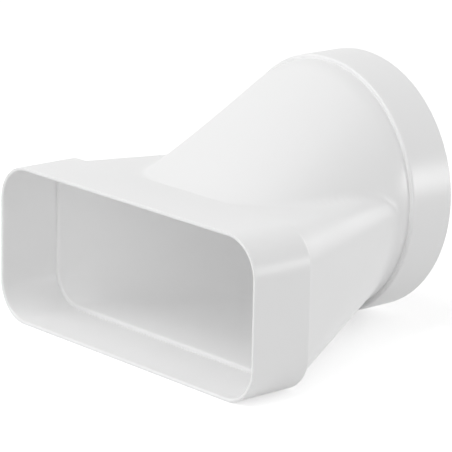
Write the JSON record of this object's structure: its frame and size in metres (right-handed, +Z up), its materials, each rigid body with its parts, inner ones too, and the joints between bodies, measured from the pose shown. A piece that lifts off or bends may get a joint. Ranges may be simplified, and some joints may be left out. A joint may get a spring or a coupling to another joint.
{
  "type": "duct transition piece",
  "caption": "White moulded adapter that joins a flat rectangular ventilation duct to a round pipe, with a tapering body, a hood and a collar set higher than the flat socket.",
  "frame": {"origin": "middle of the part's box in X and Y, on the flat socket's underside", "axes": "+Z up, +Y out of the round mouth, -Y out of the flat mouth, +X along the flat mouth's width"},
  "size_m": [0.225, 0.1836, 0.1585],
  "materials": {
    "white_plastic": "smooth moulded, semi-matt"
  },
  "bodies": {
    "root": {"transition_body": "white_plastic"}
  },
  "joints": []
}
